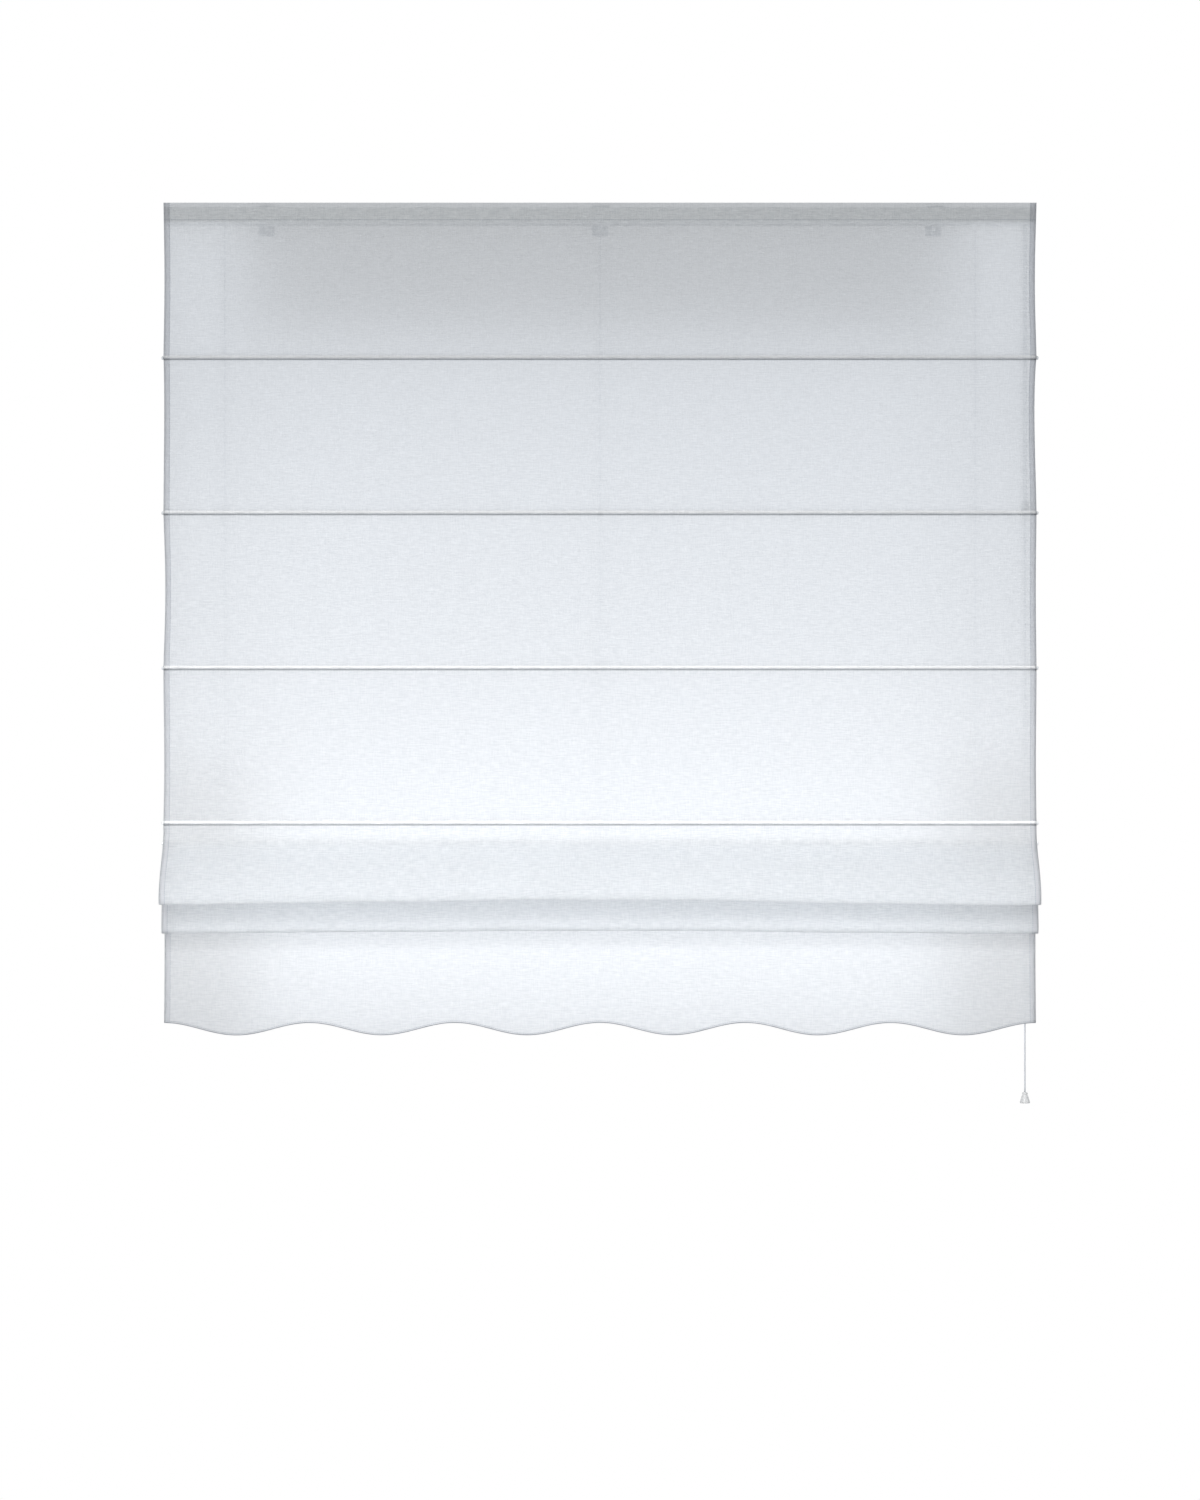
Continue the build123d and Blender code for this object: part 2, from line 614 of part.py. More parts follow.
joiner_foot = joiner_seam - joiner_cup_height
with BuildPart() as joiner_cup:
    with BuildSketch(Plane(origin=(pull_x, cord_y, joiner_seam), x_dir=(1, 0, 0), z_dir=(0, -1, 0))):
        with BuildLine():
            Polyline(
                (joiner_radius - joiner_wall, 0),
                (joiner_radius, 0),
                (joiner_radius, -joiner_cup_height / 2),
                (pull_cord_radius + 1.8, -joiner_cup_height),
                (pull_cord_radius + cord_clearance, -joiner_cup_height),
                (pull_cord_radius + cord_clearance, -joiner_cup_height + 1.5),
                (joiner_radius - joiner_wall, -joiner_cup_height / 2 + 0.5),
                close=True,
            )
        make_face()
    revolve(axis=Axis((pull_x, cord_y, joiner_seam), (0, 0, 1)))
keep(joiner_cup.part, "joiner_cup")

tassel_foot_z = heading_top - tassel_foot
tassel_top_z = tassel_foot_z + tassel_height
pull_knot = 2.0
with BuildPart() as pull_cord:
    upper_knot = joiner_foot + joiner_cup_height / 2
    lower_knot = tassel_top_z - tassel_wall - pull_knot - 0.3
    with Locations((pull_x, cord_y, upper_knot)):
        Cylinder(
            pull_cord_radius, upper_knot - lower_knot, align=(Align.CENTER, Align.CENTER, Align.MAX)
        )
    with Locations((pull_x, cord_y, upper_knot), (pull_x, cord_y, lower_knot)):
        Sphere(pull_knot)
print("pull cord", round(upper_knot - lower_knot), "mm long and straight")
keep(pull_cord.part, "pull_cord")

with BuildPart() as tassel:
    with BuildSketch(Plane(origin=(pull_x, cord_y, tassel_top_z), x_dir=(1, 0, 0), z_dir=(0, -1, 0))):
        with BuildLine():
            Polyline(
                (pull_cord_radius + cord_clearance, 0),
                (tassel_top_radius - 1, 0),
                (tassel_top_radius, -1),
                (tassel_foot_radius, -tassel_height + 1.2),
                (tassel_foot_radius - 0.4, -tassel_height),
                (tassel_foot_radius - tassel_wall, -tassel_height),
                (tassel_top_radius - tassel_wall + 0.6, -tassel_wall),
                (pull_cord_radius + cord_clearance, -tassel_wall),
                close=True,
            )
        make_face()
    revolve(axis=Axis((pull_x, cord_y, tassel_top_z), (0, 0, 1)))
keep(tassel.part, "tassel")
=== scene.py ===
import math

import bmesh
import bpy
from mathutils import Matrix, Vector, noise


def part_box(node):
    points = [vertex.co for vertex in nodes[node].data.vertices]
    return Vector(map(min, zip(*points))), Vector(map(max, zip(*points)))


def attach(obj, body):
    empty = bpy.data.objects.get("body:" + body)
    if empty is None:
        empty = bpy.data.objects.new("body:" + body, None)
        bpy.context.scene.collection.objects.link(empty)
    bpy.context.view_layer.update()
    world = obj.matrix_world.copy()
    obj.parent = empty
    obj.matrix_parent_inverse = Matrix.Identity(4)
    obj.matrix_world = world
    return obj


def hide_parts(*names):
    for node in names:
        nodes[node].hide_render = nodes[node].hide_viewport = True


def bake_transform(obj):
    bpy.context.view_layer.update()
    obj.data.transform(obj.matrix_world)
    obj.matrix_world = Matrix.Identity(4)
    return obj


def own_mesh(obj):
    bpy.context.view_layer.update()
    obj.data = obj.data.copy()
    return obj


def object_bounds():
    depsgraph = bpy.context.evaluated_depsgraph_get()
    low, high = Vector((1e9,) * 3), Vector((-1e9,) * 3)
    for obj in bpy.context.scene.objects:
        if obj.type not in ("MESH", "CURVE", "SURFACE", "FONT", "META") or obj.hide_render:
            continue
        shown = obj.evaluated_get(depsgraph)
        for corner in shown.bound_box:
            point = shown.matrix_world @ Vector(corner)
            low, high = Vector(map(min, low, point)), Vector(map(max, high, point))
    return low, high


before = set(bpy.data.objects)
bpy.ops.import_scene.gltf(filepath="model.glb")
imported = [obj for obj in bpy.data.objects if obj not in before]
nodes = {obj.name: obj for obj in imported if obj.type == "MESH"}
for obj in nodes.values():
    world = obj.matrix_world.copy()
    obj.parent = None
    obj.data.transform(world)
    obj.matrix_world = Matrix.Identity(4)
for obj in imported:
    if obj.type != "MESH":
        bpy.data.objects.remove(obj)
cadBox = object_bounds()
mm = 0.001

rodHeights = [(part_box(f"rod_{n}")[0].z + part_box(f"rod_{n}")[1].z) / 2 for n in range(1, 7)]
rodY = (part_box("rod_1")[0].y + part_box("rod_1")[1].y) / 2


def hexColour(code):
    parts = [int(code[i:i + 2], 16) / 255 for i in (1, 3, 5)]
    return tuple(p / 12.92 if p <= 0.04045 else ((p + 0.055) / 1.055) ** 2.4 for p in parts) + (1.0,)


def addNode(tree, kind, inputs=None, **settings):
    made = tree.nodes.new("ShaderNode" + kind)
    for name, value in settings.items():
        setattr(made, name, value)
    for key, value in (inputs or {}).items():
        if isinstance(value, bpy.types.NodeSocket):
            tree.links.new(value, made.inputs[key])
        else:
            made.inputs[key].default_value = value
    return made


def newMaterial(name):
    material = bpy.data.materials.new(name)
    material.use_nodes = True
    material.node_tree.nodes.clear()
    return material, material.node_tree


def newPiece(name, bm, material, body):
    mesh = bpy.data.meshes.new(name)
    bm.to_mesh(mesh)
    bm.free()
    piece = bpy.data.objects.new(name, mesh)
    bpy.context.scene.collection.objects.link(piece)
    mesh.materials.append(material)
    mesh.polygons.foreach_set("use_smooth", [True] * len(mesh.polygons))
    if body:
        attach(piece, body)
    return piece


# camera: level with the middle of the cloth, straight on
view = {"distance": 4.60, "height": cadBox[1].z - 0.815, "lens": 74.1}
camera = bpy.data.objects.new("camera", bpy.data.cameras.new("camera"))
camera.data.lens = view["lens"]
camera.data.clip_end = 100
camera.location = (0, rodY - view["distance"], view["height"])
camera.rotation_euler = (math.pi / 2, 0, 0)
bpy.context.scene.collection.objects.link(camera)
bpy.context.scene.camera = camera
bpy.context.scene.view_settings.view_transform = "Standard"
print("camera set")


# materials

weave = {
    "pitch": 0.231,  # from one rod to the next
    "sideSeam": 0.6415,  # from the middle of the flat cloth to the side hem's stitches
    "headSeam": 0.0255,  # below the top edge
    "footSeam": 0.0026,  # above the lower edge
    "stitchWidth": 0.38 * mm,  # half of it
    "stitchShare": 0.8,  # the rest is the gap between two stitches
    "rodsMiddle": 0.85,  # rods lie this far down the flat cloth, give or take rodsReach
    "rodsReach": 0.7,
    "warm": "#EEF0F2",
    "cool": "#F9FAFB",
    "hem": "#EDEEF0",  # two layers of cloth look denser
    "stitch": "#CBD0D6",
    "creaseShade": "#B2B5B9",  # painted shade along the pressed crease under each rod
    "crestWidth": 1.8 * mm,  # half of it; two layers over a rod send more light back and let less through, and the band is also painted white as a painted highlight
    "crestThrough": 0.05,
    "thread": 1.3,  # mm; the real 0.5 mm threads are too fine to show
    "slubLength": 15.0,
    "slubHeight": 2.0,
    "letsThrough": 0.6,
    "sheer": 0.09,
    "stitchPitch": 3.2,
}


def voile(name, sheer, through, shadeTint="#FFFFFF"):
    # polyester voile woven like linen: thin, matt, with uneven threads, and light shows through it
    material, tree = newMaterial(name)
    uv = addNode(tree, "TexCoord").outputs["UV"]
    split = addNode(tree, "SeparateXYZ", {0: uv})
    across, down = split.outputs["X"], split.outputs["Y"]
    long, high = 1000 / weave["slubLength"], 1000 / weave["slubHeight"]
    slubs = []
    for scale in ((long, high, 1), (high, long, 1)):
        place = addNode(tree, "Mapping", {"Vector": uv, "Scale": scale})
        slubs.append(addNode(tree, "TexNoise", {"Vector": place.outputs[0], "Scale": 1.0, "Detail": 3.0}))
    slub = addNode(tree, "Mix", {"Factor": 0.36, "A": slubs[0].outputs["Fac"], "B": slubs[1].outputs["Fac"]})
    uneven = addNode(tree, "MapRange", {"Value": slub.outputs[0], "From Min": 0.38, "From Max": 0.62})
    threads = []
    for value in (across, down):
        turns = addNode(tree, "Math", {0: value, 1: 2 * math.pi / (weave["thread"] * mm)}, operation="MULTIPLY")
        threads.append(addNode(tree, "Math", {0: turns.outputs[0]}, operation="SINE"))
    threadSum = addNode(tree, "Math", {0: threads[0].outputs[0], 1: threads[1].outputs[0]}, operation="ADD")
    # seams: value, where it is in metres on the flat cloth, and the value that runs along the seam
    seams = [(across, -weave["sideSeam"], down), (across, weave["sideSeam"], down), (down, weave["headSeam"], across)]
    toHem = addNode(tree, "Attribute", attribute_name="toHem").outputs["Fac"]
    seams.append((toHem, weave["footSeam"], across))
    stitched = None
    for value, where, along in seams:
        off = addNode(tree, "Math", {0: value, 1: where}, operation="SUBTRACT")
        size = addNode(tree, "Math", {0: off.outputs[0]}, operation="ABSOLUTE")
        near = addNode(tree, "Math", {0: size.outputs[0], 1: weave["stitchWidth"]}, operation="LESS_THAN")
        count = addNode(tree, "Math", {0: along, 1: weave["stitchPitch"] * mm}, operation="DIVIDE")
        part = addNode(tree, "Math", {0: count.outputs[0]}, operation="FRACT")
        dash = addNode(tree, "Math", {0: part.outputs[0], 1: weave["stitchShare"]}, operation="LESS_THAN")
        both = addNode(tree, "Math", {0: near.outputs[0], 1: dash.outputs[0]}, operation="MULTIPLY")
        if stitched:
            both = addNode(tree, "Math", {0: stitched, 1: both.outputs[0]}, operation="MAXIMUM")
        stitched = both.outputs[0]
    panel = addNode(tree, "Math", {0: down, 1: weave["pitch"]}, operation="DIVIDE")
    rounded = addNode(tree, "Math", {0: panel.outputs[0]}, operation="ROUND")
    fromRod = addNode(tree, "Math", {0: panel.outputs[0], 1: rounded.outputs[0]}, operation="SUBTRACT")
    # the crest band sits 1.6 mm above the rod line, on the ridge's upper side, where it gets a painted highlight
    fromTop = addNode(tree, "Math", {0: fromRod.outputs[0], 1: 1.6 * mm / weave["pitch"]}, operation="ADD")
    fromCrest = addNode(tree, "Math", {0: fromTop.outputs[0]}, operation="ABSOLUTE")
    crestShare = weave["crestWidth"] / weave["pitch"]
    crest = addNode(tree, "MapRange", {"Value": fromCrest.outputs[0], "From Min": crestShare * 1.15,
                                       "From Max": crestShare * 0.85})
    # a dark stripe 2.6 mm below each rod line: painted shade of the crease under the ridge
    fromCrease = addNode(tree, "Math", {0: fromRod.outputs[0], 1: 2.6 * mm / weave["pitch"]}, operation="SUBTRACT")
    creaseSize = addNode(tree, "Math", {0: fromCrease.outputs[0]}, operation="ABSOLUTE")
    inCrease = addNode(tree, "MapRange", {"Value": creaseSize.outputs[0], "From Min": 0.9 * mm / weave["pitch"],
                                          "From Max": 0.5 * mm / weave["pitch"]})
    fromFourth = addNode(tree, "Math", {0: down, 1: weave["rodsMiddle"]}, operation="SUBTRACT")
    rodPart = addNode(tree, "Math", {0: fromFourth.outputs[0]}, operation="ABSOLUTE")
    hasRod = addNode(tree, "Math", {0: rodPart.outputs[0], 1: weave["rodsReach"]}, operation="LESS_THAN")
    crest = addNode(tree, "Math", {0: crest.outputs[0], 1: hasRod.outputs[0]}, operation="MULTIPLY")
    creaseShadeMask = addNode(tree, "Math", {0: inCrease.outputs[0], 1: hasRod.outputs[0]}, operation="MULTIPLY")
    letThrough = addNode(tree, "MapRange", {"Value": crest.outputs[0], "To Min": through,
                                            "To Max": weave["crestThrough"]})
    fromMiddle = addNode(tree, "Math", {0: across}, operation="ABSOLUTE")
    atSide = addNode(tree, "Math", {0: fromMiddle.outputs[0], 1: weave["sideSeam"] - 0.3 * mm},
                     operation="GREATER_THAN")
    atFoot = addNode(tree, "Math", {0: toHem, 1: weave["footSeam"]}, operation="LESS_THAN")
    doubled = addNode(tree, "Math", {0: atSide.outputs[0], 1: atFoot.outputs[0]}, operation="MAXIMUM")
    colour = addNode(tree, "Mix", {"Factor": uneven.outputs[0], "A": hexColour(weave["warm"]),
                                   "B": hexColour(weave["cool"])}, data_type="RGBA")
    dense = addNode(tree, "Mix", {"Factor": doubled.outputs[0], "A": colour.outputs["Result"],
                                  "B": hexColour(weave["hem"])}, data_type="RGBA")
    # painted highlight: the crest is painted white
    crestHighlighted = addNode(tree, "Mix", {"Factor": crest.outputs[0], "A": dense.outputs["Result"],
                                    "B": hexColour("#FFFFFF")}, data_type="RGBA")
    # painted shade: the crease stripe is painted darker
    creaseShaded = addNode(tree, "Mix", {"Factor": creaseShadeMask.outputs[0], "A": crestHighlighted.outputs["Result"],
                                    "B": hexColour(weave["creaseShade"])}, data_type="RGBA")
    sewn = addNode(tree, "Mix", {"Factor": stitched, "A": creaseShaded.outputs["Result"],
                                 "B": hexColour(weave["stitch"])}, data_type="RGBA")
    # painted shade: a grey multiplied over the cloth's colour
    if shadeTint != "#FFFFFF":
        sewn = addNode(tree, "Mix", {"Factor": 1.0, "A": sewn.outputs["Result"], "B": hexColour(shadeTint)},
                       data_type="RGBA", blend_type="MULTIPLY")
    slubHeight = addNode(tree, "Math", {0: uneven.outputs[0], 1: 4.0}, operation="MULTIPLY")
    woven = addNode(tree, "Math", {0: slubHeight.outputs[0], 1: threadSum.outputs[0]}, operation="ADD")
    raised = addNode(tree, "Math", {0: woven.outputs[0], 1: stitched}, operation="ADD")
    bump = addNode(tree, "Bump", {"Strength": 1.0, "Distance": 0.16 * mm, "Height": raised.outputs[0]})
    front = addNode(tree, "BsdfPrincipled", {"Base Color": sewn.outputs["Result"], "Roughness": 0.9,
                                             "Specular IOR Level": 0.15, "Sheen Weight": 0.12,
                                             "Normal": bump.outputs[0]})
    behind = addNode(tree, "BsdfTranslucent", {"Color": sewn.outputs["Result"]})
    lit = addNode(tree, "MixShader", {0: letThrough.outputs[0], 1: front.outputs[0], 2: behind.outputs[0]})
    gaps = addNode(tree, "MapRange", {"Value": uneven.outputs[0], "To Min": sheer * 1.4, "To Max": sheer * 0.6})
    holes = addNode(tree, "MixShader", {0: gaps.outputs[0], 1: lit.outputs[0],
                                        2: addNode(tree, "BsdfTransparent").outputs[0]})
    addNode(tree, "OutputMaterial", {"Surface": holes.outputs[0]})
    return material


def plain(name, colour, roughness, pattern=None, metal=0.0, through=0.0, coat=0.0, strength=0.2, depth=0.05,
          shade=None, ior=1.5):
    # pattern is (texture, scale along x, y and z per metre, extra settings)
    material, tree = newMaterial(name)
    values = {"Base Color": hexColour(colour), "Roughness": roughness, "Metallic": metal,
              "Transmission Weight": through, "Coat Weight": coat}
    if not metal:
        values["IOR"] = ior
    if pattern:
        texture, scale, settings = pattern
        place = addNode(tree, "Mapping", {"Vector": addNode(tree, "TexCoord").outputs["Object"], "Scale": scale})
        drawn = addNode(tree, texture, {"Vector": place.outputs[0], "Scale": 1.0}, **settings)
        fac = drawn.outputs["Fac" if "Fac" in drawn.outputs else 0]
        tone = addNode(tree, "Mix", {"Factor": fac, "A": hexColour(shade or colour), "B": hexColour(colour)},
                       data_type="RGBA")
        values["Base Color"] = tone.outputs["Result"]
        values["Roughness"] = addNode(tree, "MapRange", {"Value": fac, "To Min": roughness * 0.85,
                                                         "To Max": min(1.0, roughness * 1.15)}).outputs[0]
        values["Normal"] = addNode(tree, "Bump", {"Strength": strength, "Distance": depth * mm,
                                                  "Height": fac}).outputs[0]
    shader = addNode(tree, "BsdfPrincipled", values)
    addNode(tree, "OutputMaterial", {"Surface": shader.outputs[0]})
    return material


materials = {
    "voile": voile("linenLookVoile", weave["sheer"], weave["letsThrough"]),
    "sleeve": voile("voilePocket", 0.3, 0.8),
    # rolled over three times, so it lets little light through; its grey tint is painted shade on the hem's underside
    "roll": voile("rolledVoileShaded", 0.0, 0.15, shadeTint="#B4B9C0"),
    # powder coat is satin, with a fine orange peel about 0.6 mm across
    "rail": plain("powderCoatedAluminium", "#EFEFED", 0.42, ("TexNoise", (1600, 1600, 1600), {}), shade="#EAEAE8"),
    # moulded acetal is slightly waxy, with a faint spark texture
    "plastic": plain("mouldedAcetal", "#ECECE8", 0.48, ("TexNoise", (900, 900, 900), {}), shade="#E4E4DF"),
    "wheel": plain("polishedAcetal", "#E9E8E2", 0.25, ("TexNoise", (400, 400, 400), {}), shade="#E2E1DA"),
    # zinc plate is grey and cloudy, from crystals a few mm across
    "bracket": plain("zincPlatedSteel", "#B9BDC0", 0.36, ("TexVoronoi", (260, 260, 260), {}), metal=1.0,
                     shade="#A4A8AC"),
    "pin": plain("groundSteel", "#B8B8BA", 0.22, ("TexNoise", (300, 300, 6000), {}), metal=1.0, shade="#A2A2A5"),
    # hooks stand in rows 1.6 mm apart, loops lie as a fuzzy felt
    "hook": plain("hookTape", "#E6E6E2", 0.7, ("TexVoronoi", (620, 620, 620), {}), strength=0.8, depth=0.4,
                  shade="#C9C9C4"),
    "loop": plain("loopTape", "#EDEDEA", 0.95, ("TexNoise", (1300, 1300, 1300), {}), strength=0.9, depth=0.3,
                  shade="#D9D9D6"),
    # drawn fibreglass lets light through, with streaks along the rod
    "rod": plain("drawnFibreglass", "#F4F4F0", 0.3, ("TexNoise", (12, 2500, 2500), {}), through=0.7, shade="#ECECE6",
                 ior=1.52),
    "clear": plain("frostedPolycarbonate", "#F8F9FA", 0.35, ("TexNoise", (350, 350, 350), {}), through=0.35,
                   strength=0.05, shade="#F2F4F5", ior=1.58),
    # braid of 16 strands shows as crossing ribs about 0.8 mm apart
    "cord": plain("braidedPolyester", "#C6C8CC", 0.85, ("TexWave", (420, 420, 900), {"bands_direction": "DIAGONAL"}),
                  strength=0.5, depth=0.08, shade="#BCBFC4"),
    "tassel": plain("mouldedStyrene", "#D2D2D1", 0.35, ("TexNoise", (500, 500, 500), {}), coat=0.2, shade="#CBCBCA"),
}
finishes = {"head_rail": "rail", "end_cap": "plastic", "hook_tape": "hook", "loop_tape": "loop", "bracket": "bracket",
            "clamp": "plastic", "cord_guide": "plastic", "guide_wheel": "wheel", "guide_pin": "pin",
            "lock_housing": "plastic", "lock_cam_pin": "pin", "lock_cam": "pin", "lock_pulley_pin": "pin",
            "lock_pulley": "wheel", "rod_tips": "clear", "rod": "rod", "rings": "clear", "cord_stops": "clear",
            "joiner": "tassel", "tassel": "tassel", "pull_cord": "cord", "cord_tails": "cord", "lift_cord": "cord",
            "cloth": "voile"}
for name, piece in nodes.items():
    kind = [k for k in finishes if name.startswith(k)][0]
    piece.data.materials.clear()
    piece.data.materials.append(materials[finishes[kind]])
print("materials made")


# cloth: a flat grid, folded by moving each point to where the hanging cloth takes it

cloth = {
    "width": 1.300,
    "top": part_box("cloth_upper")[1].z,
    "plane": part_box("loop_tape")[0].y - 0.3 * mm,
    "rodPitch": 0.231,
    "sideHem": 9 * mm,
    "hemPanel": 0.243,  # below the last rod, to the troughs
    "scallops": 6,
    "scallopDepth": 18.5 * mm,
    "ridge": 2.0 * mm,  # the cloth stands out over each rod
    "ridgeWidth": 2.3 * mm,
    "hemGap": 0.45 * mm,
}
fourthRod = cloth["top"] - 4 * cloth["rodPitch"]

# the drawn-up cloth's line from the fourth rod down, in mm: (towards the room, up); "rod" marks where a rod holds it
foldLine = [
    (0, 0, "rod"), (0.2, -10), (2.0, -21), (7.5, -34), (17, -48), (29, -63), (40.5, -80), (48, -96), (51, -109),
    (49.5, -117.5), (45.5, -119.5), (41.5, -113), (34, -98), (21.5, -73), (9.0, -49), (1.6, -35.4),
    (-2.6, -32.8, "rod"), (-5.6, -35.6), (-3.2, -43), (4.5, -58), (12.5, -88), (18.5, -124), (21.5, -148),
    (21.0, -159.5), (17.2, -163.5), (13.4, -159), (9.6, -140), (5.6, -108), (2.0, -84), (0.0, -75.6),
    (-2.6, -72.8, "rod"), (-5.3, -75.8), (-5.7, -90), (-5.6, -130), (-5.6, -200), (-5.6, -316, "rod"),
]
# how far the loops are lifted and pushed out in the middle of the width, in mm
loopForm = {"lift": 9.0, "push": 4.0}


def curveThrough(points, steps=7):
    made, marks = [], []
    for i in range(len(points) - 1):
        p0, p1, p2, p3 = (points[max(0, min(len(points) - 1, i + k))] for k in (-1, 0, 1, 2))
        if len(p1) > 2:
            marks.append(len(made))
        for step in range(steps):
            t = step / steps
            made.append(tuple(
                0.5 * (2 * b + (c - a) * t + (2 * a - 5 * b + 4 * c - d) * t * t + (3 * b - a - 3 * c + d) * t ** 3)
                for a, b, c, d in zip(p0[:2], p1[:2], p2[:2], p3[:2])))
    marks.append(len(made))
    made.append(points[-1][:2])
    return made, marks


def foldAt(x):
    # 0 where a loop hangs flat and low, 1 where it is pushed out and up
    along = x / cloth["width"] + 0.5
    full = 0.5 - 0.5 * math.cos(2 * math.pi * min(1, max(0, along * 1.06)))
    full = full ** 0.6 + 0.06 * math.sin(13 * along + 0.6) + 0.05 * math.sin(29 * along + 2.0)
    points = []
    for n, point in enumerate(foldLine):
        out, up = point[:2]
        share = math.sin(math.pi * min(1, max(0, n / 16))) ** 2 if n < 16 else 0
        low = 0.45 * math.sin(math.pi * min(1, max(0, (n - 16) / 14))) ** 2 if 16 < n < 30 else 0
        out += full * loopForm["push"] * share - 2.2 * full * low
        up += full * loopForm["lift"] * share + full * loopForm["lift"] * low
        if n > 30:
            sway = math.sin(7.5 * along + 0.8) + 0.5 * math.sin(19 * along)
            out += 1.3 * sway * min(1, (n - 30) / 5)
        points.append((out, up) + tuple(point[2:]))
    line, marks = curveThrough(points)
    lengths = [0.0]
    for a, b in zip(line, line[1:]):
        lengths.append(lengths[-1] + math.hypot(b[0] - a[0], b[1] - a[1]))
    return line, lengths, [lengths[m] for m in marks]


foldCache = {}


def folded(x, down):
    # down is the flat distance below the fourth rod
    key = round(x / 2e-3)
    if key not in foldCache:
        foldCache[key] = foldAt(key * 2e-3)
    line, lengths, marks = foldCache[key]
    flat = [0, cloth["rodPitch"], 2 * cloth["rodPitch"], 2 * cloth["rodPitch"] + cloth["hemPanel"]]
    span = 0 if down < flat[1] else 1 if down < flat[2] else 2
    share = (down - flat[span]) / (flat[span + 1] - flat[span])
    want = marks[span] + share * (marks[span + 1] - marks[span])
    low, high = 0, len(lengths) - 1
    while high - low > 1:
        middle = (low + high) // 2
        if lengths[middle] <= want:
            low = middle
        else:
            high = middle
    t = (want - lengths[low]) / max(1e-9, lengths[high] - lengths[low])
    out = line[low][0] + t * (line[high][0] - line[low][0])
    up = line[low][1] + t * (line[high][1] - line[low][1])
    return out * mm, up * mm


# how far each panel's sides pull in, left and right in mm, and how low on the panel
pinches = [(1.6, 2.6, 0.5), (1.2, 3.2, 0.35), (2.9, 1.2, 0.5), (1.4, 1.0, 0.6)]


def clothPoint(u, s):
    # u across and s down on the flat cloth, in metres
    x = u
    panel = s / cloth["rodPitch"]
    side = max(0.0, (abs(u) - 0.56) / 0.09)
    if panel <= 4:
        number = min(3, int(panel))
        left, right, low = pinches[number]
        share = panel - number
        bend = math.sin(math.pi * share ** (math.log(0.5) / math.log(low))) ** 1.2 if 0 < share < 1 else 0
        x -= math.copysign((left if u < 0 else right) * mm * bend * side * side, u)
        fromRods = [s - n * cloth["rodPitch"] for n in (1, 2, 3, 4)]
        ridge = sum(math.exp(-((r + 0.6 * mm) / cloth["ridgeWidth"]) ** 2) for r in fromRods)
        groove = sum(math.exp(-((r - 4.2 * mm) / (1.6 * mm)) ** 2) for r in fromRods)
        billow = math.sin(math.pi * (panel - number))
        out = cloth["ridge"] * ridge - 0.35 * mm * groove + 0.9 * mm * billow * (0.7 + 0.3 * side)
        out += 0.6 * mm * billow * noise.noise(Vector((u * 5.2, s * 4.0, 1.7)))
        out += 0.25 * mm * billow * noise.noise(Vector((u * 22, s * 9, 7.3)))
        near = min(abs(r) for r in fromRods)
        out += 0.16 * mm * math.exp(-near / 0.012) * noise.noise(Vector((u * 110, round(panel), 3.1)))
        fade = min(1, s / 0.03)
        return Vector((x, cloth["plane"] - out * fade, cloth["top"] - s))
    down = s - 4 * cloth["rodPitch"]
    out, up = folded(u, down)
    ridge = math.exp(-((down + 0.6 * mm) / cloth["ridgeWidth"]) ** 2)
    groove = math.exp(-((down - 4.2 * mm) / (1.6 * mm)) ** 2)
    out += cloth["ridge"] * ridge - 0.35 * mm * groove
    near = min(down, abs(down - cloth["rodPitch"]), abs(down - 2 * cloth["rodPitch"]))
    out += 0.16 * mm * math.exp(-near / 0.012) * noise.noise(Vector((u * 110, 4, 3.1)))
    loose = min(1, down / 0.04)
    out += 0.5 * mm * loose * noise.noise(Vector((u * 6.0, down * 7, 4.4)))
    up += 0.45 * mm * loose * noise.noise(Vector((u * 9.0, 2.2, 9.4))) * (1 if down < 0.45 else 0)
    if down > 0.462:
        tail = (down - 0.462) / cloth["hemPanel"]
        x -= math.copysign(1.0 * mm * side * side * math.sin(math.pi * min(1, tail)), u)
    return Vector((x, cloth["plane"] - out, fourthRod + up))


def hemCut(u):
    # how much shorter the cloth is cut at u than at a trough of its scallops
    return cloth["scallopDepth"] / 2 * (1 + math.cos(2 * math.pi * cloth["scallops"] * u / cloth["width"]
                                                     + math.pi * cloth["scallops"]))


def rowsBetween(marks, near, far):
    # distances down the cloth: fine within 10 mm of each mark, coarser between
    rows, s = [marks[0]], marks[0]
    while s < marks[-1] - 1e-9:
        gap = min(abs(s - m) for m in marks)
        s += near if gap < 10 * mm else min(far, near + (gap - 10 * mm) * 0.4)
        nextMark = min([m for m in marks if m > rows[-1] + 1e-9])
        if s > nextMark - 0.4 * near:
            s = nextMark
        rows.append(s)
    return rows


